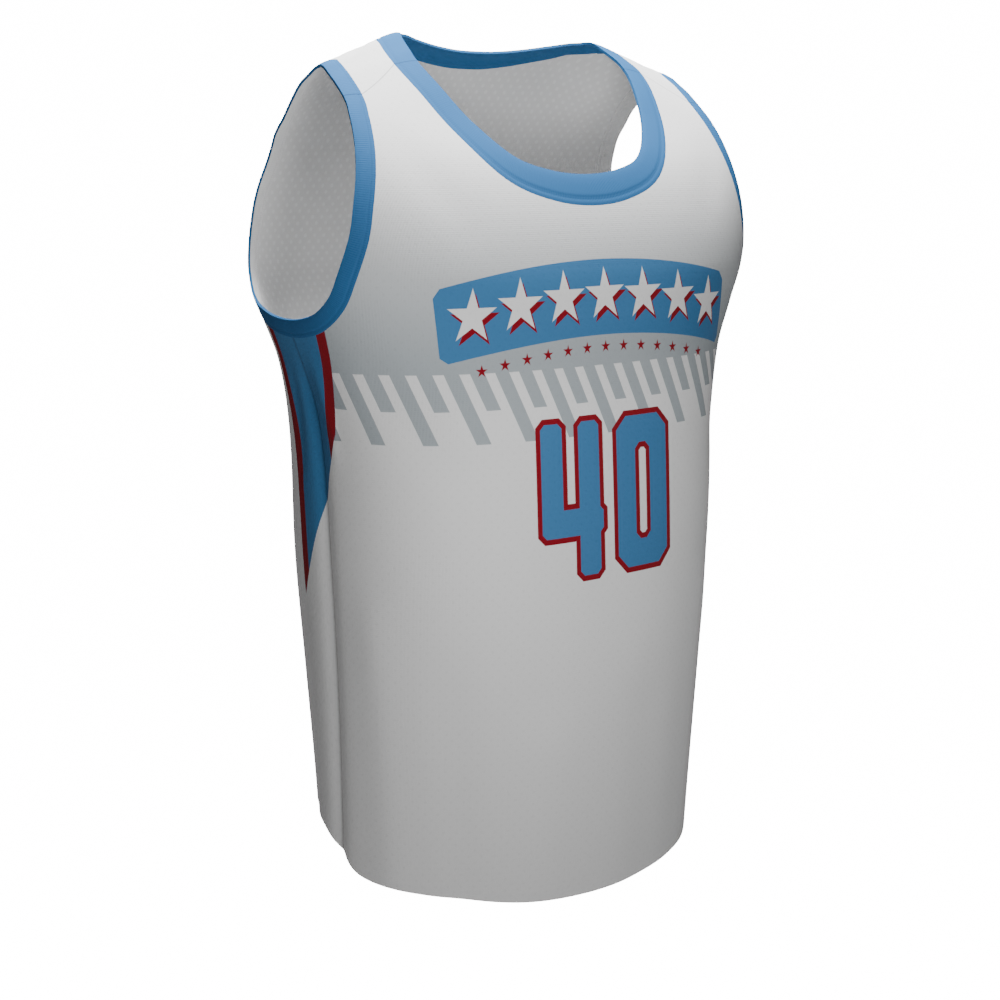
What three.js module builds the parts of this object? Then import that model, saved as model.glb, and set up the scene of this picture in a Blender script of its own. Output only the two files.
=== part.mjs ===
import * as THREE from 'three';

// Sleeveless basketball jersey, men's size L, hollow as on a figure but with no wearer.
// Millimetres. +X is the wearer's left, +Y the back, +Z up.
// The origin lies midway between the neck ends of the two shoulders, where the jersey hangs.

// Cloth
const PANEL_WALL = 1.5; // single knit of the two panels
const RIB_WALL = 2.2; // doubled rib of the neck and armhole bands
const SEAM_GAP = 0.35;
const HEM_DEPTH = 22; // cloth turned up inside along the bottom edge
const HEM_WALL = 2.6;
const HEM_STEP = 1; // the turned edge steps in over this depth

// Bands, measured across the rib
const ARM_BAND = 15;
const NECK_BAND_FRONT = 27;
const NECK_BAND_SHOULDER = 22;
const NECK_BAND_BACK = 22;

// Body rings, each a level that counts down from the shoulder line and the columns named here.
// The front and the back of a ring reach their depths on the centre line, and squareness 2 is an
// ellipse, 3 a boxier outline. Near the shoulder line the front depth is negative: both faces lie
// behind the side seam there.
const HALF_WIDTH = 1, FRONT_DEPTH = 2, BACK_DEPTH = 3, SQUARENESS = 4;
const BODY = [
  [-720, 180, 134, 121, 2.05],
  [-630, 180, 139, 126, 2.15],
  [-530, 182, 140, 131, 2.35],
  [-420, 187, 136, 127, 2.65],
  [-320, 194, 131, 115, 2.7],
  [-260, 207, 127, 111, 2.6],
  [-222, 221, 126, 114, 2.7],
  [-185, 234, 123, 119, 2.9],
  [-140, 239, 112, 108, 3],
  [-100, 239, 94, 90, 3],
  [-60, 238, 63, 71, 3],
  [-35, 235, 41, 60, 3],
  [-16, 233, 20, 46, 3],
  [-6, 232, 4, 29, 3],
  [-2.5, 232, -2, 21, 3],
  [-0.7, 232, -6, 14, 3],
  [0, 232, -10, 10, 3],
];

// The shoulder line falls and runs forward from the neck to the arm, and the rings below
// straighten out again down to SLOPE_DEPTH.
const SLOPE_START = 100;
const SLOPE_END = 189;
const SLOPE_DROP = 31;
const SLOPE_FORWARD = 14;
const SLOPE_DEPTH = 85;
const SLOPE_SOFTNESS = 0.1;

// Openings as [angle from the centre line, place]. A place is the level, negative on the front
// and positive on the back. The neck runs from the centre back to the centre front, the armhole
// from the front over the shoulder to the back. The shoulder seams lie in front of the shoulder.
const NECK = [
  [0, 10.2], [5, 9.8], [11, 7.6], [16.5, 4.4], [21, 1.4], [24.2, 0], [25.6, -5], [26.5, -22],
  [24.3, -48], [21.2, -73], [15.6, -98], [8, -108.5], [0, -111.5],
];
const NECK_SEAM = -22;
const ARM = [
  [90, -222.5], [83, -221.5], [74, -216.4], [65.9, -204], [60.8, -188.5], [54.9, -159.5],
  [51.7, -131], [49.2, -101], [47.4, -75], [46.6, -50], [46.6, -33.5],
  [46.8, -14], [46.5, 0], [46, 20], [45.3, 45], [45, 75], [45.3, 100], [46.5, 119],
  [49, 161], [51, 180], [54.5, 196], [62, 208.5], [70, 215], [80, 220.5], [90, 222.5],
];
const ARM_SEAM = -33.5;

// Hem by angle from the centre line. The first row mirrors the third.
const HEM_LEVEL = 1;
const HEM_FRONT = [
  [-25, -700], [0, -704], [25, -700.5], [45, -693], [65, -686.5], [80, -681], [90, -667],
];
const HEM_BACK = [[-30, -648], [0, -652], [30, -648], [60, -644], [78, -651], [90, -667]];

// Grid of a half panel. Rows beside the neck and beside the side of the armhole run from the
// centre across, and the grid below them takes in the underside of the armhole as well. The
// shares say how far down the arm seam each stretch ends.
const FRONT_GRID = {
  neck: 9, armhole: 6, underarm: 4, body: 12, chest: -238, neckShare: 0.5, armShare: 0.82,
};
const BACK_GRID = {
  neck: 14, armhole: 8, underarm: 4, body: 12, chest: 236, neckShare: 0.4, armShare: 0.86,
};
const COLUMNS = 11;
const BAND_COLUMNS = 2;

const STEP = 0.01; // for slopes by differences
const OFFSET_MOVES = 4; // a spot is moved over the form in this many straight moves

// Value of a column at a place in a table that is sorted by its first column, read off a
// smooth curve through the rows.
function read(table, at, column) {
  const last = table.length - 1;
  let i = 0;
  while (i < last - 1 && at > table[i + 1][0]) i++;
  const before = table[Math.max(i - 1, 0)];
  const [from, to] = [table[i], table[i + 1]];
  const after = table[Math.min(i + 2, last)];
  const span = to[0] - from[0];
  const t = Math.min(Math.max((at - from[0]) / span, 0), 1);
  const slopeFrom = ((to[column] - before[column]) / (to[0] - before[0])) * span;
  const slopeTo = ((after[column] - from[column]) / (after[0] - from[0])) * span;
  return (2 * t ** 3 - 3 * t ** 2 + 1) * from[column] + (t ** 3 - 2 * t ** 2 + t) * slopeFrom
    + (-2 * t ** 3 + 3 * t ** 2) * to[column] + (t ** 3 - t ** 2) * slopeTo;
}

const mix = (a, b, t) => a + (b - a) * t;
const ease = (t) => { const c = Math.min(Math.max(t, 0), 1); return c * c * (3 - 2 * c); };

// Outer face of the jersey. The angle is in degrees from the centre line, positive to the
// wearer's left, and the place is the level, negative on the front and positive on the back.
function form(angle, place) {
  const level = -Math.abs(place);
  const back = place >= 0;
  const width = read(BODY, level, HALF_WIDTH);
  const depth = read(BODY, level, back ? BACK_DEPTH : FRONT_DEPTH) * (back ? 1 : -1);
  const square = read(BODY, level, SQUARENESS);
  const across = Math.sin(THREE.MathUtils.degToRad(angle));
  const along = Math.cos(THREE.MathUtils.degToRad(angle));
  const scale = (Math.abs(across) ** square + Math.abs(along) ** square) ** (-1 / square);
  const x = width * scale * across;
  const beyond = Math.max(Math.abs(x) - SLOPE_START, 0) / (SLOPE_END - SLOPE_START);
  const slope = Math.hypot(beyond, SLOPE_SOFTNESS) - SLOPE_SOFTNESS;
  const fade = 1 - ease(-level / SLOPE_DEPTH);
  return new THREE.Vector3(
    x,
    depth * scale * along - SLOPE_FORWARD * slope * fade,
    level - SLOPE_DROP * slope * fade,
  );
}

// Slopes of the form and the outward normal at a spot [angle, place].
function frameAt([angle, place]) {
  const byAngle = form(angle + STEP, place).sub(form(angle - STEP, place)).divideScalar(2 * STEP);
  const byPlace = form(angle, place + STEP).sub(form(angle, place - STEP)).divideScalar(2 * STEP);
  return { byAngle, byPlace, normal: byAngle.clone().cross(byPlace).normalize() };
}

// Table of a curve on the form: length along it, angle, place.
const ANGLE = 1, PLACE = 2;
function curve(spots) {
  let length = 0;
  return spots.map((spot, i) => {
    if (i) length += form(...spot).distanceTo(form(...spots[i - 1]));
    return [length, ...spot];
  });
}

// Spots at lengths along a curve, each with the direction that leads away from the opening.
function spotsAt(table, lengths) {
  const spot = (length) => [read(table, length, ANGLE), read(table, length, PLACE)];
  return lengths.map((length) => {
    const ahead = form(...spot(length + STEP)).sub(form(...spot(length - STEP)));
    return { spot: spot(length), away: frameAt(spot(length)).normal.cross(ahead) };
  });
}

// Spots along both halves of an opening, from the shoulder seam down. The shares divide each
// half's length into stretches, and the seam keeps half a gap on either side. An end on the side
// seam keeps that too.
function halves(spots, seamPlace, frontParts, backParts) {
  const table = curve(spots);
  const seamAt = table.find((row) => row[PLACE] === seamPlace)[0];
  const total = table[table.length - 1][0];
  const [firstAngle, firstPlace] = spots[0];
  const cut = firstAngle === 0 ? 0 : SEAM_GAP / 2;
  const frontFirst = firstPlace < 0;
  const low = evenly(seamAt - SEAM_GAP / 2, cut, frontFirst ? frontParts : backParts);
  const high = evenly(seamAt + SEAM_GAP / 2, total - cut, frontFirst ? backParts : frontParts);
  const [lower, upper] = [spotsAt(table, low), spotsAt(table, high)];
  return frontFirst ? { front: lower, back: upper } : { front: upper, back: lower };
}

// Numbers from one end to the other. Each part is [share where it ends, steps].
function evenly(from, to, parts) {
  const numbers = [from];
  let start = 0;
  for (const [share, steps] of parts) {
    for (let k = 1; k <= steps; k++) numbers.push(mix(from, to, mix(start, share, k / steps)));
    start = share;
  }
  return numbers;
}

// The spots moved over the form, away from the opening, by a width that may vary along them. The
// last spot stays on its centre line or side seam.
function offset(spots, width) {
  const last = spots.length - 1;
  return spots.map(({ spot: [angle, place], away }, i) => {
    const heading = away.clone();
    let at = [angle, place];
    for (let n = 0; n < OFFSET_MOVES; n++) {
      const { byAngle, byPlace, normal } = frameAt(at);
      const move = heading.projectOnPlane(normal).setLength(1);
      const [aa, ap, pp] = [byAngle.dot(byAngle), byAngle.dot(byPlace), byPlace.dot(byPlace)];
      const [ma, mp] = [move.dot(byAngle), move.dot(byPlace)];
      const reach = width(i / last) / OFFSET_MOVES / (aa * pp - ap * ap);
      at = [at[0] + (ma * pp - mp * ap) * reach, at[1] + (mp * aa - ma * ap) * reach];
    }
    return [i === last ? angle : at[0], at[1]];
  });
}

// Closed wall through grids of rows of spots, with its outer face on the form. Grids that share
// spots are joined there. The wall may vary with the spot.
function wall(grids, thickness) {
  const outer = [], inner = [], index = new Map(), faces = [];
  const add = (spot) => {
    const key = spot.map((value) => value.toFixed(5)).join();
    if (!index.has(key)) {
      const point = form(...spot);
      index.set(key, outer.length);
      outer.push(point);
      inner.push(point.clone().addScaledVector(frameAt(spot).normal, -thickness(spot)));
    }
    return index.get(key);
  };
  for (const grid of grids) {
    const ids = grid.map((row) => row.map(add));
    for (let k = 1; k < ids.length; k++) {
      for (let j = 1; j < ids[k].length; j++) {
        const corners = [ids[k - 1][j - 1], ids[k - 1][j], ids[k][j], ids[k][j - 1]];
        if (!facesOut(corners.map((id) => outer[id]), grid[k][j])) corners.reverse();
        faces.push([corners[0], corners[1], corners[2]], [corners[0], corners[2], corners[3]]);
      }
    }
  }
  const flat = faces.filter(([a, b, c]) => a !== b && b !== c && c !== a);
  const edges = new Set(flat.flatMap(([a, b, c]) => [`${a},${b}`, `${b},${c}`, `${c},${a}`]));
  const count = outer.length;
  const triangles = flat.flatMap(([a, b, c]) => [a, b, c, a + count, c + count, b + count]);
  for (const edge of edges) {
    const [a, b] = edge.split(',').map(Number);
    if (!edges.has(`${b},${a}`)) triangles.push(b, a, a + count, b, a + count, b + count);
  }
  const geometry = new THREE.BufferGeometry().setFromPoints([...outer, ...inner]);
  geometry.setIndex(triangles);
  geometry.computeVertexNormals();
  return geometry;
}

function facesOut([a, b, c, d], spot) {
  const across = c.clone().sub(a).cross(d.clone().sub(b));
  return across.dot(frameAt(spot).normal) > 0;
}

const mirrored = (grid) => grid.map((row) => row.map(([angle, place]) => [-angle, place]));
const between = ([angle, place], [toAngle, toPlace], t) => (
  [mix(angle, toAngle, t), mix(place, toPlace, t)]
);

// Two grids of a half panel, above and below the chest. Both seams run from the shoulder down,
// the neck seam to the centre line and the arm seam to the side seam.
function halfPanel(neckSeam, armSeam, hem, plan) {
  const side = Math.sign(plan.chest);
  const centre = Array.from({ length: plan.armhole }, (_, k) => (
    [0, mix(neckSeam[plan.neck][1], plan.chest, (k + 1) / plan.armhole)]
  ));
  const inside = [...neckSeam, ...centre];
  const across = Array.from({ length: COLUMNS + 1 }, (_, j) => j / COLUMNS);
  const upper = inside.map((spot, k) => across.map((t) => between(spot, armSeam[k], t)));
  const chest = [...upper[upper.length - 1], ...armSeam.slice(inside.length)];
  const above = (height) => chest.map(([angle]) => [angle, -side * (read(hem, angle, HEM_LEVEL) + height)]);
  const foldTop = above(HEM_DEPTH + HEM_STEP);
  const lower = Array.from({ length: plan.body + 1 }, (_, k) => (
    chest.map((spot, j) => between(spot, foldTop[j], k / plan.body))
  ));
  return [upper, [...lower, above(HEM_DEPTH), above(0)]];
}

function panel(neckSeam, armSeam, hem, plan) {
  const grids = halfPanel(neckSeam, armSeam, hem, plan);
  const fold = HEM_DEPTH + HEM_STEP / 2;
  const thickness = ([angle, place]) => (
    -Math.abs(place) - read(hem, Math.abs(angle), HEM_LEVEL) < fold ? HEM_WALL : PANEL_WALL
  );
  return wall([...grids, ...grids.map(mirrored)], thickness);
}

// Rib band between an opening and its seam.
function bandGrid(spots, width) {
  return Array.from({ length: BAND_COLUMNS + 1 }, (_, j) => (
    offset(spots, (share) => width(share) * (j / BAND_COLUMNS))
  ));
}

const rib = (grids) => wall(grids, () => RIB_WALL);

function cloth(color, roughness) {
  return new THREE.MeshStandardMaterial({ color, roughness, metalness: 0, side: THREE.DoubleSide });
}

const WHITE = 0xe6e7e9, BLUE = 0x4f97cc;
const KNIT_ROUGHNESS = 0.85, RIB_ROUGHNESS = 0.8;

const neckFrontWidth = (share) => mix(NECK_BAND_SHOULDER, NECK_BAND_FRONT, ease(share));
const neckBackWidth = (share) => mix(NECK_BAND_SHOULDER, NECK_BAND_BACK, ease(share));
const armWidth = () => ARM_BAND;

// Spots along the openings, which the bands and the panels' seams share.
const armParts = (plan) => [
  [plan.neckShare, plan.neck], [plan.armShare, plan.armhole], [1, plan.underarm],
];
const neck = halves(NECK, NECK_SEAM, [[1, FRONT_GRID.neck]], [[1, BACK_GRID.neck]]);
const arm = halves(ARM, ARM_SEAM, armParts(FRONT_GRID), armParts(BACK_GRID));

// A panel is cut a gap beyond the bands.
const seam = (spots, width) => offset(spots, (share) => width(share) + SEAM_GAP);
const frontPanel = panel(
  seam(neck.front, neckFrontWidth), seam(arm.front, armWidth), HEM_FRONT, FRONT_GRID,
);
const backPanel = panel(
  seam(neck.back, neckBackWidth), seam(arm.back, armWidth), HEM_BACK, BACK_GRID,
);

const frontNeckGrid = bandGrid(neck.front, neckFrontWidth);
const backNeckGrid = bandGrid(neck.back, neckBackWidth);
const frontArmGrid = bandGrid(arm.front, armWidth);
const backArmGrid = bandGrid(arm.back, armWidth);

const pieces = {
  front_panel: [frontPanel, WHITE, KNIT_ROUGHNESS],
  back_panel: [backPanel, WHITE, KNIT_ROUGHNESS],
  neckband_front: [rib([frontNeckGrid, mirrored(frontNeckGrid)]), BLUE, RIB_ROUGHNESS],
  neckband_back: [rib([backNeckGrid, mirrored(backNeckGrid)]), BLUE, RIB_ROUGHNESS],
  armhole_band_left_front: [rib([frontArmGrid]), BLUE, RIB_ROUGHNESS],
  armhole_band_left_back: [rib([backArmGrid]), BLUE, RIB_ROUGHNESS],
  armhole_band_right_front: [rib([mirrored(frontArmGrid)]), BLUE, RIB_ROUGHNESS],
  armhole_band_right_back: [rib([mirrored(backArmGrid)]), BLUE, RIB_ROUGHNESS],
};

const group = new THREE.Group();
group.name = 'basketball_jersey';
for (const [name, [geometry, color, roughness]] of Object.entries(pieces)) {
  const mesh = new THREE.Mesh(geometry, cloth(color, roughness));
  mesh.name = name;
  group.add(mesh);
}

export default group;
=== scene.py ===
# %% [markdown]
# # A sleeveless jersey that keeps its form with nobody in it
#
# The jersey is two knitted panels and six rib strips. A filled-out garment is a thin shell, so
# the whole lesson rests on one idea: a single smooth form, given by a formula of two numbers,
# carries every piece. Each piece is then only a region of that form, and the seams meet by
# themselves. The print comes last, drawn on the cloth in real millimetres.

import bpy
import numpy as np
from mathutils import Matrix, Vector


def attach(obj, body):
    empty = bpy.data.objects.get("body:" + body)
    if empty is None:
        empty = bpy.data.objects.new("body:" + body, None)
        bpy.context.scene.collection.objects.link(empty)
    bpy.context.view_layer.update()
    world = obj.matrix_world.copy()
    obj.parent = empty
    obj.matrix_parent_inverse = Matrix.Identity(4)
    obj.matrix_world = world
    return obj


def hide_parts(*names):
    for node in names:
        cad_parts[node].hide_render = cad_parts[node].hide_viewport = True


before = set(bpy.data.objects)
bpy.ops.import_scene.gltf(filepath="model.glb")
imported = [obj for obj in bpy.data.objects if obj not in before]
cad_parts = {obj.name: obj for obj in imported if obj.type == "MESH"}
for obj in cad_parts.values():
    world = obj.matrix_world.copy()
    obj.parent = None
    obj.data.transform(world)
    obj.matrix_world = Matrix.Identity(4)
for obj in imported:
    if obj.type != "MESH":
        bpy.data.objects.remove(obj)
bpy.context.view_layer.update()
MM = 0.001
print("nodes to dress:", ", ".join(sorted(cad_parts)))

# %% [markdown]
# ## Camera
#
# The camera stands well back and a little above, at the wearer's right front, so both the
# inside of the neck and the side seam show. A long lens keeps the shoulders nearly level.

# %% Camera
CAMERA_TURN = np.radians(-40)
CAMERA_RISE = np.radians(10.45)
CAMERA_DISTANCE = 1620 * MM
CAMERA_TARGET = Vector((0, 0, -391 * MM))
SIDESTEP = -3.47 * MM

toward = Vector((
    np.sin(CAMERA_TURN) * np.cos(CAMERA_RISE),
    -np.cos(CAMERA_TURN) * np.cos(CAMERA_RISE),
    np.sin(CAMERA_RISE),
))
rightward = Vector((np.cos(CAMERA_TURN), np.sin(CAMERA_TURN), 0))
camera = bpy.data.objects.new("camera", bpy.data.cameras.new("camera"))
camera.data.sensor_width = 36
camera.data.lens = 67.2
camera.location = CAMERA_TARGET + toward * CAMERA_DISTANCE + rightward * SIDESTEP
camera.rotation_mode = "QUATERNION"
camera.rotation_quaternion = toward.to_track_quat("Z", "Y")
bpy.context.scene.collection.objects.link(camera)
bpy.context.scene.camera = camera
print("camera at", [round(value, 3) for value in camera.location])

# %% [markdown]
# ## The form
#
# Seen from above, a filled shirt is neither a circle nor a box. The superellipse gives every
# outline between them with one number, its squareness, so a short table of rings is enough: half
# width, depth to the front, depth to the back, squareness. A smooth curve through the rows fills
# in the levels between.
#
# A spot on the form is an angle from the centre line and a place. The place is the level, negative
# on the front and positive on the back, so it runs over the shoulder without a break.

# %% Form
# level, half width, front depth, back depth, squareness
BODY = np.array([
    (-720, 180, 134, 121, 2.05), (-630, 180, 139, 126, 2.15), (-530, 182, 140, 131, 2.35),
    (-420, 187, 136, 127, 2.65), (-320, 194, 131, 115, 2.7), (-260, 207, 127, 111, 2.6),
    (-222, 221, 126, 114, 2.7), (-185, 234, 123, 119, 2.9), (-140, 239, 112, 108, 3),
    (-100, 239, 94, 90, 3), (-60, 238, 63, 71, 3), (-35, 235, 41, 60, 3), (-16, 233, 20, 46, 3),
    (-6, 232, 4, 29, 3), (-2.5, 232, -2, 21, 3), (-0.7, 232, -6, 14, 3), (0, 232, -10, 10, 3),
])
SLOPE_START, SLOPE_END, SLOPE_DROP, SLOPE_FORWARD = 100, 189, 31, 14
SLOPE_DEPTH, SLOPE_SOFTNESS = 85, 0.1
STEP = 0.01


def read(table, at, column):
    """A column of a table read off a smooth curve (cubic, through every row) at the first
    column's values `at`."""
    keys, values = table[:, 0], table[:, column]
    low = np.clip(np.searchsorted(keys, at, side="right") - 1, 0, len(keys) - 2)
    before, after = np.maximum(low - 1, 0), np.minimum(low + 2, len(keys) - 1)
    span = keys[low + 1] - keys[low]
    t = np.clip((at - keys[low]) / span, 0, 1)
    slope_low = (values[low + 1] - values[before]) / (keys[low + 1] - keys[before]) * span
    slope_high = (values[after] - values[low]) / (keys[after] - keys[low]) * span
    return ((2 * t**3 - 3 * t**2 + 1) * values[low] + (t**3 - 2 * t**2 + t) * slope_low
            + (3 * t**2 - 2 * t**3) * values[low + 1] + (t**3 - t**2) * slope_high)


def ease(t):
    """0 below 0, 1 above 1, and a smooth step between."""
    t = np.clip(t, 0, 1)
    return t * t * (3 - 2 * t)


def form(spots):
    """Points in mm at spots (angle in degrees, place). On a ring, x and y are half width and
    depth times the sine and cosine of the angle, divided by their length in the norm whose power
    is the squareness. Outside the neck the shoulder line then falls and runs forward."""
    angle, place = np.radians(spots[..., 0]), spots[..., 1]
    level, back = -np.abs(place), place >= 0
    depth = np.where(back, read(BODY, level, 3), -read(BODY, level, 2))
    square = read(BODY, level, 4)
    across, along = np.sin(angle), np.cos(angle)
    scale = (np.abs(across) ** square + np.abs(along) ** square) ** (-1 / square)
    x = read(BODY, level, 1) * scale * across
    beyond = np.maximum(np.abs(x) - SLOPE_START, 0) / (SLOPE_END - SLOPE_START)
    slope = np.hypot(beyond, SLOPE_SOFTNESS) - SLOPE_SOFTNESS
    slope = slope * (1 - ease(-level / SLOPE_DEPTH))
    return np.stack([x, depth * scale * along - SLOPE_FORWARD * slope,
                     level - SLOPE_DROP * slope], -1)


def slopes(spots):
    """Change of the point by angle, by place, and the outward normal."""
    turn, fall = np.array([STEP, 0]), np.array([0, STEP])
    by_angle = (form(spots + turn) - form(spots - turn)) / (2 * STEP)
    by_place = (form(spots + fall) - form(spots - fall)) / (2 * STEP)
    normal = np.cross(by_angle, by_place)
    return by_angle, by_place, normal / np.linalg.norm(normal, axis=-1, keepdims=True)


def girth(spots, steps=40):
    """Length in mm along the ring from the centre line to the spot, signed as the angle."""
    shares = np.linspace(0, 1, steps + 1)
    ring = np.stack([spots[..., :1] * shares, np.broadcast_to(spots[..., 1:], spots.shape[:-1]
                                                              + (steps + 1,))], -1)
    pieces = np.linalg.norm(np.diff(form(ring), axis=-2), axis=-1)
    return pieces.sum(-1) * np.sign(spots[..., 0])


chest_ring = np.array([[90.0, -260.0], [90.0, 260.0]])
print("girth at the chest, mm:", round(2 * girth(chest_ring).sum()))

# %% [markdown]
# ## Openings
#
# Neck and armhole are closed lines on the form, listed as spots. A seam runs beside each at the
# width of its rib, so the seam isn't drawn: the spots are walked over the form, away from the
# opening. Rib and panel use the same walk, which is why they meet.

# %% Openings
# angle, place: from the centre back over the shoulder to the centre front
NECK = np.array([
    (0, 10.2), (5, 9.8), (11, 7.6), (16.5, 4.4), (21, 1.4), (24.2, 0), (25.6, -5), (26.5, -22),
    (24.3, -48), (21.2, -73), (15.6, -98), (8, -108.5), (0, -111.5),
])
# angle, place: from the front armpit over the shoulder to the back armpit
ARM = np.array([
    (90, -222.5), (83, -221.5), (74, -216.4), (65.9, -204), (60.8, -188.5), (54.9, -159.5),
    (51.7, -131), (49.2, -101), (47.4, -75), (46.6, -50), (46.6, -33.5), (46.8, -14), (46.5, 0),
    (46, 20), (45.3, 45), (45, 75), (45.3, 100), (46.5, 119), (49, 161), (51, 180),
    (54.5, 196), (62, 208.5), (70, 215), (80, 220.5), (90, 222.5),
])
NECK_SEAM, ARM_SEAM = -22, -33.5
# angle, level
HEM_FRONT = np.array([
    (-25, -700), (0, -704), (25, -700.5), (45, -693), (65, -686.5), (80, -681), (90, -667),
])
HEM_BACK = np.array([
    (-30, -648), (0, -652), (30, -648), (60, -644), (78, -651), (90, -667),
])
SEAM_GAP = 0.01
ARM_BAND = 15
NECK_BAND_FRONT, NECK_BAND_SHOULDER, NECK_BAND_BACK = 27, 22, 22
OFFSET_MOVES = 4

# how finely each stretch of a seam is divided, and the share of the armhole where it ends
FRONT_PLAN = {"neck": 36, "armhole": 24, "underarm": 14, "body": 104, "chest": -238,
              "neck_share": 0.5, "arm_share": 0.82}
BACK_PLAN = {"neck": 48, "armhole": 28, "underarm": 14, "body": 96, "chest": 236,
             "neck_share": 0.4, "arm_share": 0.86}


def curve(spots):
    """Table of length along the line, angle, place. A row before and one after mirror the next
    ones at the ends, so the line runs level over the centre line or the side seam."""
    lengths = np.linalg.norm(np.diff(form(spots), axis=0), axis=1).cumsum()
    table = np.column_stack([np.concatenate([[0], lengths]), spots])
    before = table[0] * [2, 2, 0] - table[1] * [1, 1, -1]
    after = table[-1] * [2, 2, 0] - table[-2] * [1, 1, -1]
    return np.vstack([before, table, after])


def evenly(start, end, parts):
    """Numbers from start to end. Each part is (share where it ends, steps)."""
    shares, low = [np.zeros(1)], 0
    for high, steps in parts:
        shares.append(low + (high - low) * np.arange(1, steps + 1) / steps)
        low = high
    return start + (end - start) * np.concatenate(shares)


def spots_at(table, lengths):
    """Spots at lengths along a line, and the direction that leads away from the opening there:
    the outward normal crossed with the way ahead."""
    def spot(length):
        return np.stack([read(table, length, 1), read(table, length, 2)], -1)

    ahead = form(spot(lengths + STEP)) - form(spot(lengths - STEP))
    return spot(lengths), np.cross(slopes(spot(lengths))[2], ahead)


def halves(spots, seam_place, front_parts, back_parts):
    """Both halves of an opening, each from the shoulder seam down."""
    table = curve(spots)
    seam_at = table[table[:, 2] == seam_place, 0][0]
    first_angle, first_place = spots[0]
    cut = 0 if first_angle == 0 else SEAM_GAP / 2
    front_first = first_place < 0
    parts = (front_parts, back_parts) if front_first else (back_parts, front_parts)
    lower = spots_at(table, evenly(seam_at - SEAM_GAP / 2, cut, parts[0]))
    upper = spots_at(table, evenly(seam_at + SEAM_GAP / 2, table[-2, 0] - cut, parts[1]))
    return (lower, upper) if front_first else (upper, lower)


def walked(line, width):
    """The line's spots walked over the form, away from the opening, by a width in mm that may
    vary along it. The last spot keeps its angle, on a centre line or a side seam."""
    spots, away = line[0].copy(), line[1]
    for _ in range(OFFSET_MOVES):
        by_angle, by_place, normal = slopes(spots)
        move = away - normal * (away * normal).sum(-1, keepdims=True)
        move /= np.linalg.norm(move, axis=-1, keepdims=True)
        aa, ap, pp = [(a * b).sum(-1) for a, b in
                      ((by_angle, by_angle), (by_angle, by_place), (by_place, by_place))]
        ma, mp = (move * by_angle).sum(-1), (move * by_place).sum(-1)
        reach = width / OFFSET_MOVES / (aa * pp - ap * ap)
        spots += np.stack([ma * pp - mp * ap, mp * aa - ma * ap], -1) * reach[..., None]
    spots[-1, 0] = line[0][-1, 0]
    return spots


def arm_parts(plan):
    return [(plan["neck_share"], plan["neck"]), (plan["arm_share"], plan["armhole"]),
            (1, plan["underarm"])]


neck_front, neck_back = halves(NECK, NECK_SEAM, [(1, FRONT_PLAN["neck"])],
                               [(1, BACK_PLAN["neck"])])
arm_front, arm_back = halves(ARM, ARM_SEAM, arm_parts(FRONT_PLAN), arm_parts(BACK_PLAN))


def neck_width(line, centre):
    """Width of the neck rib, from the shoulder seam to the centre line."""
    share = np.linspace(0, 1, len(line[0]))
    return NECK_BAND_SHOULDER + (centre - NECK_BAND_SHOULDER) * ease(share)


print("neck opening spots:", len(neck_front[0]) + len(neck_back[0]))

# %% [markdown]
# ## Creases
#
# Knit that hangs from the shoulders has few creases and all of them soft: a furrow down each
# side seam where two edges are sewn, drags from the armpit, and slow waves that open toward the
# hem. Each is one row: where it starts and ends on the cloth, how wide and how high. They are
# placed one by one and no two sides are alike, because a shirt never hangs evenly.

# %% Creases
ARC = 205 * np.pi / 180  # mm of cloth to a degree round the body
FADE = 60  # mm over which a crease begins and ends
# turn from the centre front (the back lies beyond 90), level, the same at the end, width, height
CREASES = np.array([
    (-90, -240, -90, -705, 15, -3.4),
    (90, -240, 90, -705, 16, -3.1),
    (-90, -245, -90, -705, 6, -1.1),
    (90, -245, 90, -705, 6, -1.0),
    (-84, -236, -80, -330, 9, 1.6),
    (-98, -240, -104, -345, 10, -1.8),
    (84, -236, 79, -320, 9, 1.5),
    (97, -240, 105, -330, 10, -1.7),
    (-66, -240, -45, -330, 22, -1.8),
    (66, -238, 47, -345, 24, -1.9),
    (-118, -240, -140, -330, 24, -2.0),
    (116, -238, 137, -320, 22, -1.8),
    (-70, -420, -66, -705, 26, 2.2),
    (-48, -470, -44, -712, 24, -1.8),
    (-20, -520, -22, -716, 30, 1.4),
    (12, -500, 14, -716, 26, -1.2),
    (42, -430, 38, -712, 28, 1.8),
    (66, -450, 68, -705, 22, -2.0),
    (-112, -430, -116, -690, 24, -2.2),
    (-138, -400, -134, -675, 30, 2.2),
    (-165, -440, -168, -675, 26, -1.8),
    (170, -380, 166, -675, 28, 2.0),
    (143, -420, 147, -675, 26, -2.0),
    (112, -400, 108, -690, 26, 2.2),
    (-42, -60, -30, -150, 16, -1.0),
    (42, -60, 32, -140, 16, -0.9),
    (-140, -70, -158, -190, 26, -1.6),
    (141, -66, 155, -180, 24, -1.5),
    (-135, -10, -134, -80, 20, -4.6),
    (134, -14, 133, -84, 22, -4.1),
])


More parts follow.
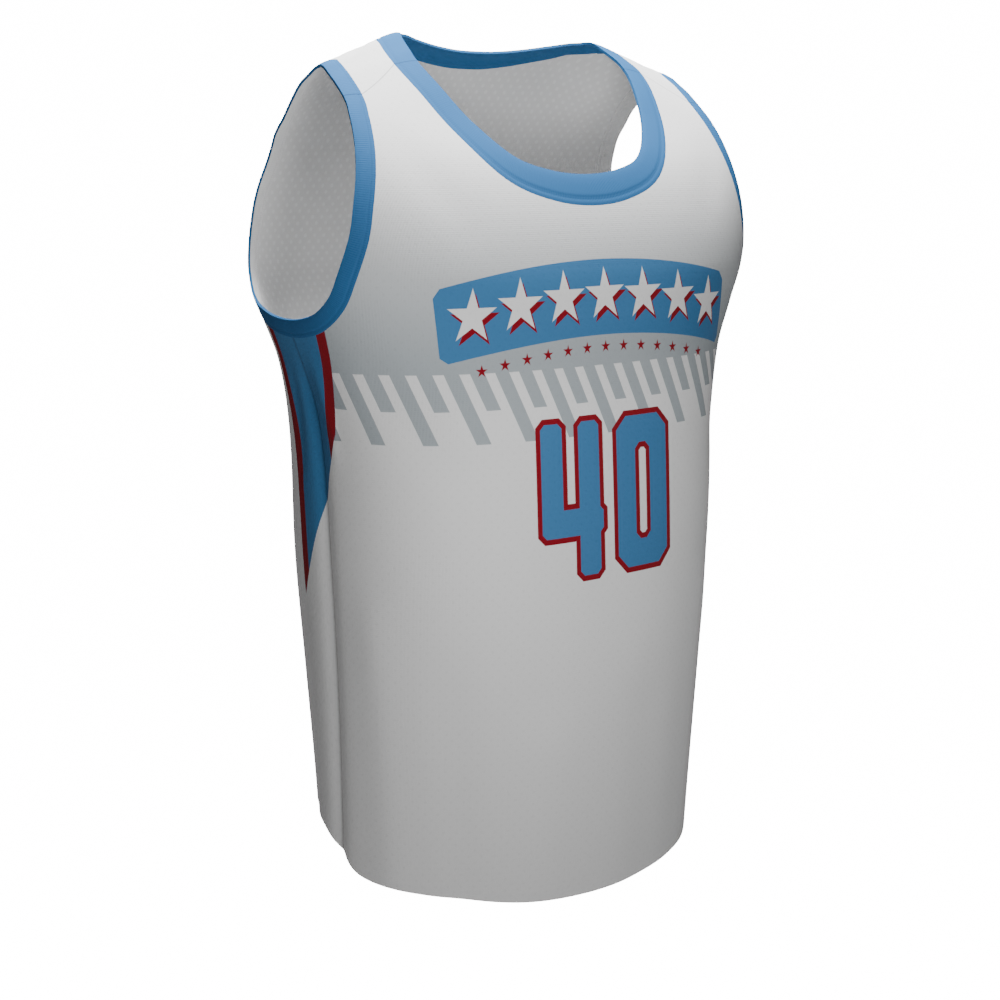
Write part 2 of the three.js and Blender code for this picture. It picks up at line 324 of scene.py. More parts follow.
def creases(spots):
    """Height in mm over the form: the sum over the rows of height times a bell of the distance
    to the crease's line, faded in at its start and half faded out at its end."""
    angle, place = spots[..., 0], spots[..., 1]
    turn = np.where(place < 0, angle, np.sign(angle + STEP) * (180 - np.abs(angle)))
    level = -np.abs(place)
    height = np.zeros(level.shape)
    for turn_a, level_a, turn_b, level_b, width, rise in CREASES:
        x = ((turn - turn_a + 180) % 360 - 180) * ARC
        y = level - level_a
        line_x, line_y = (turn_b - turn_a) * ARC, level_b - level_a
        length = np.hypot(line_x, line_y)
        along = np.clip((x * line_x + y * line_y) / length, 0, length)
        away = np.hypot(x - along * line_x / length, y - along * line_y / length)
        inward = np.minimum(along, length - along + FADE / 2)
        height += rise * np.exp(-(away / width) ** 2) * ease(inward / FADE)
    return height


print("creases:", len(CREASES))

# %% [markdown]
# ## Cloth
#
# A panel is cut in one piece, but a grid has four sides and a panel with a neck and two armholes
# has more. So each half is two grids: one beside the neck, whose rows run out to the armhole, and
# one below it that reaches the hem. Mesh tools could fill such an outline too, but a grid keeps
# its rows along the cloth, and that is what lets it bend smoothly.

# %% Grids of a panel
COLUMNS = 56
CROWDING = 1.35  # over 1, columns stand closer toward the armhole and the side seam


def mirrored(grid):
    return grid * np.array([-1, 1])


def half_panel(neck_seam, arm_seam, hem, plan):
    """Two grids of half a panel: rows from the neck and the centre line to the armhole, and
    rows from the chest to the hem."""
    side = np.sign(plan["chest"])
    down = np.arange(1, plan["armhole"] + 1) / plan["armhole"]
    start = neck_seam[-1, 1]
    centre = np.column_stack([0 * down, start + (plan["chest"] - start) * down])
    inside = np.concatenate([neck_seam, centre])
    t = 1 - np.linspace(1, 0, COLUMNS + 1)[None, :, None] ** CROWDING
    upper = inside[:, None] * (1 - t) + arm_seam[:len(inside), None] * t
    chest = np.concatenate([upper[-1], arm_seam[len(inside):]])
    bottom = np.column_stack([chest[:, 0], -side * read(hem, chest[:, 0], 1)])
    t = np.linspace(0, 1, plan["body"] + 1)[:, None, None]
    return [upper, chest * (1 - t) + bottom * t]


print("rows of a panel, front and back:",
      [plan["neck"] + plan["armhole"] + plan["body"] for plan in (FRONT_PLAN, BACK_PLAN)])

# %% [markdown]
# ## Welding
#
# Grids that share spots are joined there, as the two halves of a panel are down the middle. Each
# spot also carries three facts of its own, such as how far along a strip it lies, because the
# print and the seams need to know that later.

# %% Welding
ROUND = 5  # decimals of a degree and of a mm at which spots are the same


def welded(grids, facts):
    """The different spots of the grids, their facts, and the four-sided faces between them."""
    every = np.concatenate([grid.reshape(-1, 2) for grid in grids])
    _, first, index = np.unique(every.round(ROUND) + 0.0, axis=0, return_index=True,
                                return_inverse=True)
    known = np.concatenate([fact.reshape(-1, 3) for fact in facts])[first]
    quads, start = [], 0
    for grid in grids:
        end = start + grid.shape[0] * grid.shape[1]
        ids = index.reshape(-1)[start:end].reshape(grid.shape[:2])
        quad = np.stack([ids[:-1, :-1], ids[:-1, 1:], ids[1:, 1:], ids[1:, :-1]], -1)
        quads.append(quad.reshape(-1, 4))
        start = end
    return every[first], known, np.concatenate(quads)


print("spots are the same within", 10.0**-ROUND, "degrees and mm")

# %% [markdown]
# ## Shell
#
# Cloth has two sides and a cut edge. The grid is lifted to points on the form, copied inward by
# the cloth's thickness, and closed round its border, so it is a real shell and not a painted
# surface. A Solidify modifier would do nearly the same, but here the hem can be thicker.
#
# Where the neckline runs level, the rows beside it make thin slivers, and Blender's own normals
# would shade them as a fleck. A mean by area gives the slivers the little weight they deserve.

# %% Shell
def shell(name, grids, facts, height, thickness, values):
    """A closed mesh through grids of spots. Height and thickness in mm and the named values are
    worked out at every spot, and the values are kept as attributes of the cloth. A seam edge,
    where the last fact is over a half, is lined. The normal at a spot is the mean of the faces
    round it, by area."""
    spots, known, quads = welded(grids, facts)
    normal = slopes(spots)[2]
    outer = form(spots) + normal * height(spots, known)[:, None]
    inner = outer - normal * thickness(spots)[:, None]
    corners = outer[quads]
    facing = np.cross(corners[:, 2] - corners[:, 0], corners[:, 3] - corners[:, 1])
    flip = (facing * normal[quads[:, 0]]).sum(-1) < 0
    quads[flip] = quads[flip, ::-1]
    facing[flip] *= -1
    smooth = np.zeros(outer.shape)
    np.add.at(smooth, quads.ravel(), np.repeat(facing, 4, axis=0))
    smooth /= np.linalg.norm(smooth, axis=1, keepdims=True)
    count = len(spots)
    ahead = np.stack([quads, np.roll(quads, -1, 1)], -1).reshape(-1, 2)
    free = ~np.isin(ahead[:, 0] * count + ahead[:, 1], ahead[:, 1] * count + ahead[:, 0])
    a, b = ahead[free].T
    rim = np.column_stack([b, a, a + count, b + count])
    faces = np.concatenate([quads, quads[:, ::-1] + count, rim])
    mesh = bpy.data.meshes.new(name)
    mesh.from_pydata(np.concatenate([outer, inner]) * MM, [], faces.tolist())
    mesh.polygons.foreach_set("use_smooth", np.arange(len(faces)) < 2 * len(quads))
    looks = np.repeat([0, 1], len(quads))
    mesh.polygons.foreach_set("material_index", np.concatenate([looks, known[a, 2] > 0.5]))
    for label, value in values(spots, known).items():
        attribute = mesh.attributes.new(label, "FLOAT_VECTOR", "POINT")
        attribute.data.foreach_set("vector", np.tile(value, (2, 1)).ravel())
    mesh.update()
    edge = np.array([tuple(face.normal) for face in mesh.polygons[2 * len(quads):]])
    turned = [smooth[quads.ravel()], -smooth[quads[:, ::-1].ravel()], np.repeat(edge, 4, axis=0)]
    mesh.normals_split_custom_set(np.concatenate(turned).tolist())
    piece = bpy.data.objects.new(name, mesh)
    bpy.context.scene.collection.objects.link(piece)
    area = np.linalg.norm(facing, axis=1).sum() / 2 * MM**2
    print(f"{name}: {2 * count} points, {2 * len(faces)} triangles, cloth {area:.4f} m2")
    return piece


print("the shell is ready")

# %% [markdown]
# ## Panels
#
# The front and the back are cut from the same knit. The wall is one layer of it, and two in the
# turned hem. The print later needs to know where on the cloth a point lies, so each panel keeps
# its own measures: round the body, down it, and from the seams.

# %% Panels
PANEL_WALL, HEM_WALL, HEM_DEPTH = 1.5, 2.6, 22


def panel(name, neck_line, neck_rib, arm_line, hem, plan):
    """A body panel, cut a seam's gap beyond the ribs. Its cloth attribute is girth from the
    centre line, level, height above the hem, and its side attribute the girth from the side seam
    and the length from the shoulder seam."""
    neck_seam = walked(neck_line, neck_rib + SEAM_GAP)
    arm_seam = walked(arm_line, ARM_BAND + SEAM_GAP)
    upper, body = half_panel(neck_seam, arm_seam, hem, plan)
    grids = [upper, body, mirrored(upper), mirrored(body)]
    down = np.linalg.norm(np.diff(form(upper), axis=0), axis=-1).cumsum(0)
    from_seam = [np.vstack([0 * down[:1], down]), np.full(body.shape[:2], down.max())]
    facts = [np.stack([length, 0 * length, 0 * length], -1) for length in from_seam] * 2

    def above_hem(spots):
        return -np.abs(spots[:, 1]) - read(hem, np.abs(spots[:, 0]), 1)

    def thickness(spots):
        return np.where(above_hem(spots) < HEM_DEPTH, HEM_WALL, PANEL_WALL)

    def values(spots, known):
        across = girth(spots)
        at_side = np.column_stack([np.full(len(spots), 90.0), spots[:, 1]])
        cloth = np.column_stack([across, -np.abs(spots[:, 1]), above_hem(spots)])
        side = np.column_stack([girth(at_side) - np.abs(across), known[:, 0], 0 * across])
        return {"cloth": cloth * MM, "side": side * MM}

    return shell(name, grids, facts, lambda spots, _: creases(spots), thickness, values)


front_panel = panel("front_panel_knit", neck_front, neck_width(neck_front, NECK_BAND_FRONT),
                    arm_front, HEM_FRONT, FRONT_PLAN)
back_panel = panel("back_panel_knit", neck_back, neck_width(neck_back, NECK_BAND_BACK),
                   arm_back, HEM_BACK, BACK_PLAN)

# %% [markdown]
# ## Ribs
#
# The neck and the armholes are bound with strips of rib, folded double. A folded strip is
# thicker than the panel, so it swells a little between its edges, and the topstitching pulls a
# fine furrow beside the seam. That furrow is what makes a flat blue ring read as a sewn binding.

# %% Ribs
RIB_WALL, RIB_SWELL, BAND_COLUMNS = 2.2, 0.5, 14
FURROW_AT, FURROW_WIDTH, FURROW_DEPTH = 0.79, 0.05, 0.55


def rib(name, line, width, both_sides):
    """A strip from the opening to its seam. Its cloth attribute is the length along the strip
    from its lower end and the way across it, and its side attribute the share of the way across
    and the length from the shoulder seam."""
    shares = np.linspace(0, 1, BAND_COLUMNS + 1)
    grid = np.stack([walked(line, width * share) for share in shares])
    lengths = np.linalg.norm(np.diff(form(grid[-1]), axis=0), axis=1)
    to_end = np.append(lengths[::-1].cumsum()[::-1], 0) * np.sign(line[0][0, 0])
    across = np.repeat(shares[:, None], len(to_end), 1)
    facts = np.stack([np.broadcast_to(to_end, across.shape), across * width, across], -1)

    def height(spots, known):
        share = known[:, 2]
        swell = RIB_SWELL * (1 - np.abs(2 * share - 1) ** 4)
        furrow = FURROW_DEPTH * np.exp(-((share - FURROW_AT) / FURROW_WIDTH) ** 2)
        return creases(spots) + swell - furrow

    def values(_, known):
        along = np.abs(known[:, 0])
        side = np.column_stack([known[:, 2], (along.max() - along) * MM, 0 * along])
        return {"cloth": known * [MM, MM, 0], "side": side}

    grids, facts = [grid], [facts]
    if both_sides:
        grids.append(mirrored(grid))
        facts.append(facts[0] * [-1, 1, 1])
    return shell(name, grids, facts, height, lambda spots: np.full(len(spots), RIB_WALL), values)


def other_side(line):
    """The mirror image of an opening's line."""
    spots, away = line
    return spots * [-1, 1], away * [-1, 1, 1]


neck_ribs = [
    rib("neckband_front_rib", neck_front, neck_width(neck_front, NECK_BAND_FRONT), True),
    rib("neckband_back_rib", neck_back, neck_width(neck_back, NECK_BAND_BACK), True),
]
arm_ribs = [
    rib("armhole_band_left_front_rib", arm_front, ARM_BAND, False),
    rib("armhole_band_left_back_rib", arm_back, ARM_BAND, False),
    rib("armhole_band_right_front_rib", other_side(arm_front), ARM_BAND, False),
    rib("armhole_band_right_back_rib", other_side(arm_back), ARM_BAND, False),
]

# %% [markdown]
# ## Drawing with numbers
#
# The print is drawn by formulas in the shader, so its edges stay sharp at any size. Every mark
# is a distance: negative inside the mark, zero on its edge. The smaller of two distances joins
# two marks, the larger of one and the other's opposite cuts a hole, and a band of distances just
# outside is an outline. The small class below lets those formulas be written as they are read.

# %% Formula nodes
class Value:
    """A number in a node tree. Arithmetic on it makes the Math nodes."""

    def __init__(self, tree, socket):
        self.tree, self.socket = tree, socket

    def math(self, operation, *others, clamp=False):
        node = self.tree.nodes.new("ShaderNodeMath")
        node.operation, node.use_clamp = operation, clamp
        for socket, value in zip(node.inputs, (self, *others)):
            plug(self.tree, socket, value)
        return Value(self.tree, node.outputs[0])

    def __add__(self, other):
        return self.math("ADD", other)

    def __sub__(self, other):
        return self.math("SUBTRACT", other)

    def __mul__(self, other):
        return self.math("MULTIPLY", other)

    def __truediv__(self, other):
        return self.math("DIVIDE", other)

    def __abs__(self):
        return self.math("ABSOLUTE")

    def inside(self, softness=0.5 * MM):
        """1 where this distance is negative, 0 where it is positive."""
        return (self / -softness).math("ADD", 0.5, clamp=True)

    def ramp(self, start, end):
        """A smooth step from 0 at start to 1 at end."""
        node = self.tree.nodes.new("ShaderNodeMapRange")
        node.interpolation_type = "SMOOTHSTEP"
        for label, value in (("Value", self), ("From Min", start), ("From Max", end)):
            plug(self.tree, node.inputs[label], value)
        return Value(self.tree, node.outputs["Result"])


def plug(tree, socket, value):
    if isinstance(value, Value):
        tree.links.new(value.socket, socket)
    else:
        socket.default_value = value


def new_group(name, inputs, outputs):
    """A shader node group with named sockets. Returns its tree and its inputs as Values."""
    tree = bpy.data.node_groups.new(name, "ShaderNodeTree")
    for label, kind, start in inputs:
        socket = tree.interface.new_socket(label, in_out="INPUT", socket_type="NodeSocket" + kind)
        socket.default_value = start
    for label, kind in outputs:
        tree.interface.new_socket(label, in_out="OUTPUT", socket_type="NodeSocket" + kind)
    entry = tree.nodes.new("NodeGroupInput")
    return tree, {label: Value(tree, entry.outputs[label]) for label, _, _ in inputs}


def finish_group(tree, **results):
    leave = tree.nodes.new("NodeGroupOutput")
    for label, value in results.items():
        plug(tree, leave.inputs[label], value)
    return tree


def use(tree, group, **inputs):
    """A copy of a group in a tree, with its inputs set. Returns its outputs as Values."""
    node = tree.nodes.new("ShaderNodeGroup")
    node.node_tree = group
    for label, value in inputs.items():
        plug(tree, node.inputs[label], value)
    return {socket.name: Value(tree, socket) for socket in node.outputs}


def parts_of(value):
    node = value.tree.nodes.new("ShaderNodeSeparateXYZ")
    plug(value.tree, node.inputs[0], value)
    return [Value(value.tree, socket) for socket in node.outputs]


def paint(base, mask, colour):
    """Colour laid over base where the mask is 1."""
    tree = mask.tree
    node = tree.nodes.new("ShaderNodeMix")
    node.data_type = "RGBA"
    plug(tree, node.inputs["Factor"], mask)
    plug(tree, node.inputs[6], base)
    plug(tree, node.inputs[7], colour)
    return Value(tree, node.outputs[2])


print("formula nodes ready")

# %% [markdown]
# ## Marks
#
# Three marks are enough. A block is a rectangle with its corners cut off, the stuff of athletic
# numerals. A star folds its five points onto one, so one straight edge draws all ten. The knit
# itself is a mark too: rows of loops, and small open holes in a staggered grid.

# %% Marks
VECTOR, FLOAT, COLOUR = "Vector", "Float", "Color"
ORIGIN = (0, 0, 0)
DIAGONAL = 0.7071  # cosine of 45 degrees
TENTH = np.pi / 5
POINT_COSINE, POINT_SINE = 0.951, 0.309  # of 18 degrees, half the angle of a star's point

# a block: how far outside a rectangle with cut corners
tree, given = new_group("block", [("X", FLOAT, 0), ("Y", FLOAT, 0), ("Half Width", FLOAT, 0.01),
                                  ("Half Height", FLOAT, 0.01), ("Cut", FLOAT, 0)],
                        [("Distance", FLOAT)])
beyond_x = abs(given["X"]) - given["Half Width"]
beyond_y = abs(given["Y"]) - given["Half Height"]
corner = (beyond_x + beyond_y + given["Cut"]) * DIAGONAL
block = finish_group(tree, Distance=beyond_x.math("MAXIMUM", beyond_y).math("MAXIMUM", corner))

# a star: the angle folded into one tenth of a turn, then the distance to one straight edge
tree, given = new_group("star", [("X", FLOAT, 0), ("Y", FLOAT, 0), ("Radius", FLOAT, 0.01)],
                        [("Distance", FLOAT)])
reach = (given["X"] * given["X"] + given["Y"] * given["Y"]).math("SQRT")
angle = given["X"].math("ARCTAN2", given["Y"])
folded = abs(angle.math("WRAP", TENTH, -TENTH))
edge = reach * folded.math("SINE") * POINT_COSINE
tip = (reach * folded.math("COSINE") - given["Radius"]) * POINT_SINE
star = finish_group(tree, Distance=edge + tip)

# knit: loops as crossed waves, and holes as discs in two staggered grids
tree, given = new_group("knit", [("Cloth", VECTOR, ORIGIN), ("Loop", FLOAT, 0.0011),
                                 ("Hole Spacing", FLOAT, 0.0105), ("Hole", FLOAT, 0.0013)],
                        [("Height", FLOAT), ("Holes", FLOAT)])
x, y, _ = parts_of(given["Cloth"])
wale = (x / given["Loop"] * (2 * np.pi)).math("SINE")
course = (y / given["Loop"] * (1.4 * np.pi) + wale).math("SINE")


def nearest_hole(shift):
    """Distance to the nearest point of a square grid shifted by a share of its spacing."""
    away = []
    for value in (x, y):
        share = (value / given["Hole Spacing"] + shift).math("FRACT") - 0.5
        away.append(share * given["Hole Spacing"])
    return (away[0] * away[0] + away[1] * away[1]).math("SQRT")


hole = nearest_hole(0).math("MINIMUM", nearest_hole(0.5)) - given["Hole"]
knit = finish_group(tree, Height=wale * 0.3 + course * 0.2 + 0.5, Holes=hole.inside(0.0008))
print("marks:", block.name, star.name, knit.name)

# %% [markdown]
# ## Colours
#
# The white of the knit gives back about four fifths of the light, and the blue of the ribs is
# deeper than the blue of the print. Blender counts colours in linear light, so these numbers are
# lower than the ones a paint program shows for the same cloth.

# %% Colours
WHITE = (0.83, 0.83, 0.83, 1)
WRONG_SIDE, WRONG_SIDE_HOLES = (0.78, 0.78, 0.78, 1), (0.85, 0.85, 0.85, 1)
GREY = (0.36, 0.40, 0.425, 1)
BLUE = (0.052, 0.185, 0.39, 1)
RIB_BLUE = (0.032, 0.130, 0.31, 1)
RED = (0.24, 0.004, 0.012, 1)
print("white of the right and the wrong side:", WHITE[0], WRONG_SIDE[0])

# %% [markdown]
# ## Print on the front
#
# The chest carries an arched blue band of white stars with a red shadow, a row of small red
# stars below it, and a grey that deepens downward and breaks off in slanted bars. The plain
# number has a red outline. An image would do for all this, but it blurs when seen close, and a
# formula doesn't.

# %% Front print
# levels, pitches and radii in mm, a bend in metres of drop to a metre squared
GREY_FROM, GREY_TO, GREY_END = -70, -285, -262
BAR_PITCH, BAR_HALF, BAR_SLANT = 21, 0.29, 0.45  # mm, share of the pitch, mm across to a mm down
BAR_END, BAR_LONGER = -291, -26
BAND_LEVEL, BAND_BEND, BAND_LEAN = -208, 0.73, 0.16
STARS_LEVEL, SHADE_LEVEL, SHADE_ASIDE, STAR_PITCH, STAR_RADIUS = -206, -210, 2.5, 43, 22
SMALL_LEVEL, SMALL_BEND, SMALL_PITCH, SMALL_RADIUS = -247.5, 0.9, 20, 5.2
NUMBER_LEVEL, OUTLINE = -368, 4.5

tree, given = new_group("front print", [("Cloth", VECTOR, ORIGIN), ("Ground", COLOUR, WHITE)],
                        [("Color", COLOUR)])
x, y, _ = parts_of(given["Cloth"])

# grey: deepens down the chest and ends in slanted bars of two lengths
slanted = (x + y * BAR_SLANT) / (BAR_PITCH * MM)
bar = (abs(slanted.math("FRACT") - 0.5) - BAR_HALF) * (BAR_PITCH * MM)
longer = ((slanted / 2).math("FRACT") - 0.5).math("GREATER_THAN", 0)
bar_end = longer * (BAR_LONGER * MM) + BAR_END * MM
grey_shape = (bar_end - y).math("MAXIMUM", bar).math("MINIMUM", y * -1 + GREY_END * MM)
depth = y.ramp(GREY_FROM * MM, GREY_TO * MM)
colour = paint(given["Ground"], grey_shape.inside() * depth, GREY)

# band: a block bent down toward its ends, with stars one by one along it
arch = y - BAND_LEVEL * MM + x * x * BAND_BEND
band = use(tree, block, X=x + arch * BAND_LEAN, Y=arch, **{
    "Half Width": 158 * MM, "Half Height": 30 * MM, "Cut": 6 * MM})["Distance"]


def row_of_stars(x, level, pitch, last, bend, radius):
    """Distance to stars a pitch apart along an arch, up to the last one each way."""
    pitch = pitch * MM
    nearest = (x / pitch).math("ROUND").math("MINIMUM", last).math("MAXIMUM", -last) * pitch
    drop = nearest * nearest * bend
    return use(tree, star, X=x - nearest, Y=y - level * MM + drop, Radius=radius * MM)["Distance"]


big = row_of_stars(x, STARS_LEVEL, STAR_PITCH, 3, BAND_BEND, STAR_RADIUS)
shade = row_of_stars(x - SHADE_ASIDE * MM, SHADE_LEVEL, STAR_PITCH, 3, BAND_BEND, STAR_RADIUS)
small = row_of_stars(x, SMALL_LEVEL, SMALL_PITCH, 6, SMALL_BEND, SMALL_RADIUS)
colour = paint(colour, band.inside(), BLUE)
colour = paint(colour, shade.inside(), RED)
colour = paint(colour, big.inside(), WHITE)
colour = paint(colour, small.inside(), RED)


def bar_of(centre_x, centre_y, half_width, half_height, cut):
    """A block of a numeral, in mm about the middle of the number."""
    return use(tree, block, X=x - centre_x * MM, Y=y - (NUMBER_LEVEL + centre_y) * MM, **{
        "Half Width": half_width * MM, "Half Height": half_height * MM, "Cut": cut * MM,
    })["Distance"]


# numerals: strokes joined for the four, a block with a hole for the nought
four = bar_of(-22, 0, 11, 62.5, 4).math("MINIMUM", bar_of(-60, 17, 10.5, 45.5, 4)).math(
    "MINIMUM", bar_of(-39, -18, 31.5, 11, 4))
nought = bar_of(38, 0, 29.5, 62.5, 11).math("MAXIMUM", bar_of(38, 0, 8.5, 40, 5) * -1)
number = four.math("MINIMUM", nought)
colour = paint(colour, (number - OUTLINE * MM).inside(), RED)
front_print = finish_group(tree, Color=paint(colour, number.inside(), BLUE))
print("print of the front:", len(tree.nodes), "nodes")

# %% [markdown]
# ## Side inserts
#
# Under each arm a blue field tapers down the side, with a red stripe along its border. It lies
# on both panels, so the straight cut that ends it is one formula in the length from the side
# seam, positive toward the front and negative toward the back.

# %% Side inserts
INSERT_EDGE = {"front": 26, "back": 39}  # mm from the side seam
INSERT_WIDENING = {"front": 0.19, "back": 0}
WIDER_ABOVE, INSERT_TOP, STRIPE = -312, -190, 10
CUT_LEVEL, CUT_SLOPE = -369, 2.19

# Facing is 1 on the front and -1 on the back
tree, given = new_group("side insert", [("Cloth", VECTOR, ORIGIN), ("Side", VECTOR, ORIGIN),
                                        ("Facing", FLOAT, 1), ("Edge", FLOAT, 0.03),
                                        ("Widening", FLOAT, 0), ("Ground", COLOUR, WHITE)],
                        [("Color", COLOUR)])
y, side = parts_of(given["Cloth"])[1], parts_of(given["Side"])[0]
border = given["Edge"] + (y - WIDER_ABOVE * MM).math("MAXIMUM", 0) * given["Widening"]
cut = (side * given["Facing"] * CUT_SLOPE - y + CUT_LEVEL * MM) / float(np.hypot(CUT_SLOPE, 1))
insert = (side - border).math("MAXIMUM", cut).math("MAXIMUM", y - INSERT_TOP * MM)
stripe = insert.math("MAXIMUM", (border - side) - STRIPE * MM)
colour = paint(given["Ground"], insert.inside(), BLUE)
side_insert = finish_group(tree, Color=paint(colour, stripe.inside(), RED))
print("print of the sides:", len(tree.nodes), "nodes")

# %% [markdown]
# ## Materials
#
# Polyester knit is matt with a faint sheen at grazing angles. Colour alone would look like
# paper, so the loops raise the surface by a fraction of a millimetre and the holes darken it a
# little. The wrong side of the knit shows its holes more than the right side.

# %% Materials
# painted shade: the seam and furrow amounts darken the colour where shade falls in those grooves
SIDE_SEAM_PAINTED_SHADE, HOLE_SHADE, CORD_SHADE, FURROW_PAINTED_SHADE, SHOULDER_SHADE = 0.3, 0.035, 0.05, 0.10, 0.4
SEAM_REACH, SEAM_FADE, SHOULDER_REACH, SHOULDER_FADE = 1.2, 2, 0.5, 0.6  # mm
HOLE, WRONG_SIDE_HOLE, CORD = 1.2, 1.7, 1.8  # mm
KNIT_RELIEF, RIB_RELIEF = 0.15 * MM, 0.12 * MM
BUMP, SPECULAR = 0.6, 0.12


def begin(name):
    """A material, its nodes, and the cloth and side coordinates of the point."""
    material = bpy.data.materials.new(name)
    material.use_nodes = True
    tree, kept = material.node_tree, []
    for label in ("cloth", "side"):
        node = tree.nodes.new("ShaderNodeAttribute")
        node.attribute_name = label
        kept.append(Value(tree, node.outputs["Vector"]))
    return material, tree, *kept


def surface(tree, colour, height, relief, roughness, sheen):
    """Sets the shader: colour, a bump of that relief in metres, roughness and sheen."""
    shader = tree.nodes["Principled BSDF"]
    bump = tree.nodes.new("ShaderNodeBump")
    bump.inputs["Strength"].default_value = BUMP
    bump.inputs["Distance"].default_value = relief
    plug(tree, bump.inputs["Height"], height)
    tree.links.new(bump.outputs["Normal"], shader.inputs["Normal"])
    plug(tree, shader.inputs["Base Color"], colour)
    shader.inputs["Roughness"].default_value = roughness
    shader.inputs["Sheen Weight"].default_value = sheen
    shader.inputs["Specular IOR Level"].default_value = SPECULAR


def darker(colour, mask, amount):
    """The colour times 1 less the amount where the mask is 1."""
    tree = mask.tree
    node = tree.nodes.new("ShaderNodeMix")
    node.data_type, node.blend_type = "RGBA", "MULTIPLY"
    plug(tree, node.inputs["Factor"], mask)
    plug(tree, node.inputs[6], colour)
    plug(tree, node.inputs[7], (1 - amount, 1 - amount, 1 - amount, 1))
    return Value(tree, node.outputs[2])


def shoulder_seam(colour, side):
    """The colour, a shade darker in a fine line where front and back meet on the shoulder."""
    line = (parts_of(side)[1] - SHOULDER_REACH * MM).inside(SHOULDER_FADE * MM)
    return darker(colour, line, SHOULDER_SHADE)


def knit_material(name, facing=None):
    """The panels' knit: print and painted seam shade on the right side, plain on the wrong side.
    """
    material, tree, cloth, side = begin(name)
    loops = use(tree, knit, Cloth=cloth, Hole=(HOLE if facing else WRONG_SIDE_HOLE) * MM)
    holes = loops["Holes"]
    if facing:
        colour = use(tree, front_print, Cloth=cloth)["Color"] if facing == "front" else WHITE
        colour = use(tree, side_insert, Cloth=cloth, Side=side, Ground=colour,
                     Facing=-1 if facing == "back" else 1, Edge=INSERT_EDGE[facing] * MM,
                     Widening=INSERT_WIDENING[facing])["Color"]
        # painted shade: a dark line along the side seam stands in for the shadow in its groove
        seam = (parts_of(side)[0] - SEAM_REACH * MM).inside(SEAM_FADE * MM)
        colour = shoulder_seam(colour, side)
        colour = darker(darker(colour, seam, SIDE_SEAM_PAINTED_SHADE), holes, HOLE_SHADE)
    else:
        colour = paint(WRONG_SIDE, holes, WRONG_SIDE_HOLES)
    surface(tree, colour, loops["Height"] - holes * 0.5, KNIT_RELIEF, 0.85, 0.05)
    return material


def rib_material(name, colour):
    """Rib: fine cords across the strip, and painted shade in the topstitched furrow."""
    material, tree, cloth, side = begin(name)
    along, share = parts_of(cloth)[0], parts_of(side)[0]
    cords = (along * (2 * np.pi / (CORD * MM))).math("SINE") * 0.5 + 0.5
    # painted shade: the furrow beside the topstitching is darkened in colour
    furrow = (abs(share - FURROW_AT) - 0.02).inside(0.03)
    colour = darker(darker(shoulder_seam(colour, side), cords, CORD_SHADE), furrow, FURROW_PAINTED_SHADE)
    surface(tree, colour, cords, RIB_RELIEF, 0.8, 0)
    return material


knit_inside = knit_material("knit_wrong_side")
looks = {
    "front": [knit_material("knit_front", "front"), knit_inside],
    "back": [knit_material("knit_back", "back"), knit_inside],
    "neck": [rib_material("rib_blue", RIB_BLUE)] * 2,
    "arm": [rib_material("rib_blue_arm", RIB_BLUE), rib_material("rib_white_lining", WHITE)],
}
dressed = (([front_panel], "front", "mesh_knit"), ([back_panel], "back", "mesh_knit"),
           (neck_ribs, "neck", "rib_knit"), (arm_ribs, "arm", "rib_knit"))
for pieces, look, slot in dressed:
    for piece in pieces:
        for material in looks[look]:
            piece.data.materials.append(material)
print("materials:", sorted({m.name for m in bpy.data.materials if m.users}))

# %% [markdown]
# ## Riding on the part
#
# Every piece takes the place of its solid, which is hidden; the table also lists the flat cloth it
# was cut from.

# %% Declarations
# piece, solid, cut width and length in m, share of that rectangle that the cut fills, how held
CUTS = [
    (front_panel, "front_panel", 0.575, 0.70, 0.79, "hung"),
    (back_panel, "back_panel", 0.560, 0.69, 0.83, "hung"),
    (neck_ribs[0], "neckband_front", 0.36, 0.027, 0.91, "stretched"),
    (neck_ribs[1], "neckband_back", 0.30, 0.022, 0.97, "stretched"),
    (arm_ribs[0], "armhole_band_left_front", 0.225, 0.015, 1, "stretched"),
    (arm_ribs[1], "armhole_band_left_back", 0.33, 0.015, 1, "stretched"),
    (arm_ribs[2], "armhole_band_right_front", 0.225, 0.015, 1, "stretched"),
    (arm_ribs[3], "armhole_band_right_back", 0.33, 0.015, 1, "stretched"),
]
for piece, solid, width, length, share, held in CUTS:
    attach(piece, "root")
    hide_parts(solid)
    width * length * share
print("declared:", len(CUTS))

# %% [markdown]
# ## Studio
#
# A soft light beside the camera fades toward the sides of the body, and a broad one overhead
# bleaches the shoulders. A wide one behind serves the views of the back. The floor lies far below,
# so the jersey throws no shadow in view.

# %% Studio
def area_light(name, place, target, size, power):
    light = bpy.data.lights.new(name, "AREA")
    light.shape, light.size, light.energy = "DISK", size, power
    lamp = bpy.data.objects.new(name, light)
    lamp.location = place
    lamp.rotation_mode = "QUATERNION"
    lamp.rotation_quaternion = (Vector(place) - Vector(target)).to_track_quat("Z", "Y")
    lamp.visible_camera = False
    bpy.context.scene.collection.objects.link(lamp)
    return lamp


area_light("key", (-0.34, -0.69, -0.22), (0, 0, -0.42), 0.25, 3.4)
area_light("overhead", (0, 0.02, 1.30), (0, 0, 0), 0.7, 95)
area_light("rim", (-1.30, 0.75, -0.30), (0, 0, -0.45), 0.6, 1.3)
area_light("back", (0.75, 1.35, -0.10), (0, 0, -0.45), 1.0, 8)

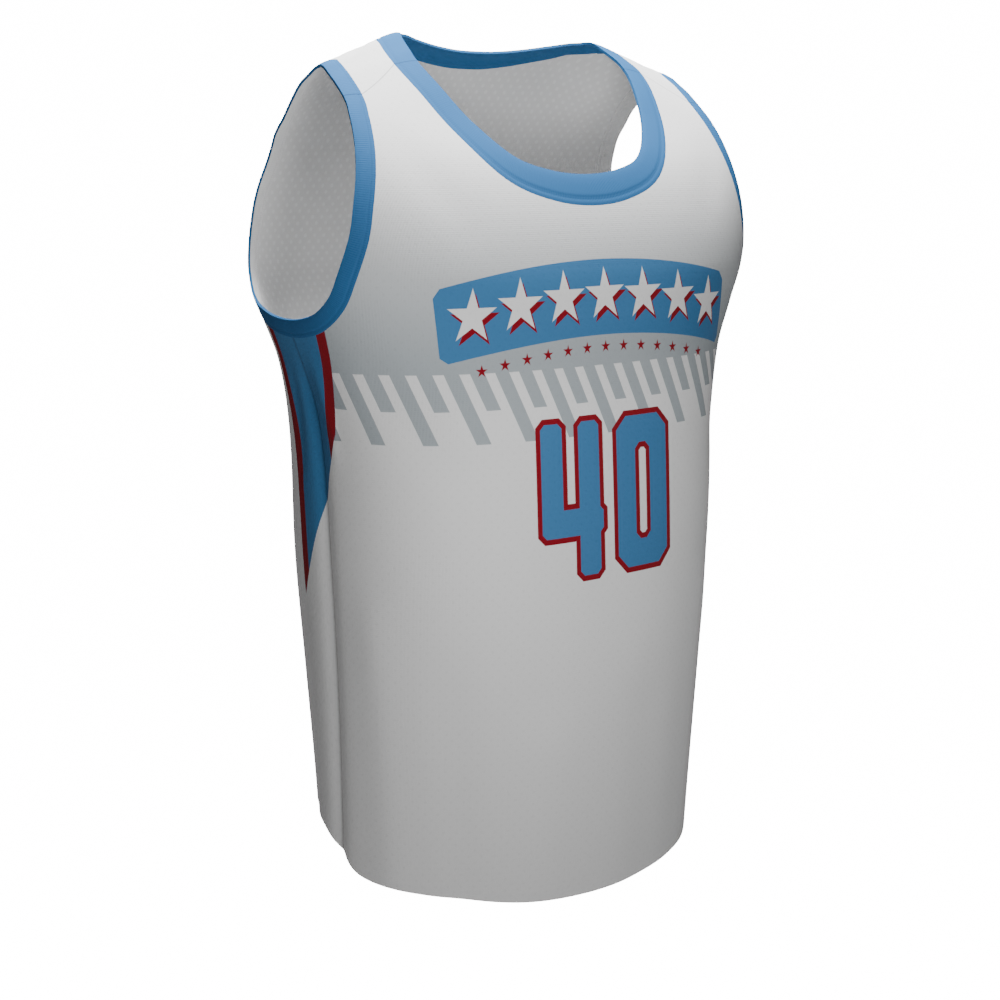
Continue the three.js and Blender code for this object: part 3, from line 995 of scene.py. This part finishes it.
glow = bpy.data.lights.new("inside", "POINT")
glow.energy, glow.shadow_soft_size = 0.22, 0.05
glow_lamp = bpy.data.objects.new("inside", glow)
glow_lamp.location = (-0.07, -0.02, -0.30)
bpy.context.scene.collection.objects.link(glow_lamp)

FLOOR_LEVEL, FLOOR_HALF = -1.6, 12
BACKGROUND = 16
plane = bpy.data.meshes.new("floor")
plane.from_pydata([(-FLOOR_HALF, -FLOOR_HALF, FLOOR_LEVEL), (FLOOR_HALF, -FLOOR_HALF, FLOOR_LEVEL),
                   (FLOOR_HALF, FLOOR_HALF, FLOOR_LEVEL), (-FLOOR_HALF, FLOOR_HALF, FLOOR_LEVEL)],
                  [], [(0, 1, 2, 3)])
floor = bpy.data.objects.new("floor", plane)
bpy.context.scene.collection.objects.link(floor)
floor_look = bpy.data.materials.new("floor")
floor_look.use_nodes = True
floor_shader = floor_look.node_tree.nodes["Principled BSDF"]
floor_shader.inputs["Base Color"].default_value = (0.5, 0.5, 0.5, 1)
floor_shader.inputs["Roughness"].default_value = 1
floor_shader.inputs["Emission Color"].default_value = (1, 1, 1, 1)
seen = floor_look.node_tree.nodes.new("ShaderNodeLightPath")
bright = floor_look.node_tree.nodes.new("ShaderNodeMath")
bright.operation = "MULTIPLY"
bright.inputs[1].default_value = BACKGROUND
floor_look.node_tree.links.new(seen.outputs["Is Camera Ray"], bright.inputs[0])
floor_look.node_tree.links.new(bright.outputs[0], floor_shader.inputs["Emission Strength"])
plane.materials.append(floor_look)

world = bpy.data.worlds.new("studio")
bpy.context.scene.world = world
world.use_nodes = True
nodes, links = world.node_tree.nodes, world.node_tree.links
seen = nodes.new("ShaderNodeLightPath")
tone = nodes.new("ShaderNodeMapRange")
tone.inputs["To Min"].default_value = 0.04
tone.inputs["To Max"].default_value = BACKGROUND
links.new(seen.outputs["Is Camera Ray"], tone.inputs["Value"])
nodes["Background"].inputs["Color"].default_value = (1, 1, 1, 1)
links.new(tone.outputs["Result"], nodes["Background"].inputs["Strength"])
print("studio lit")
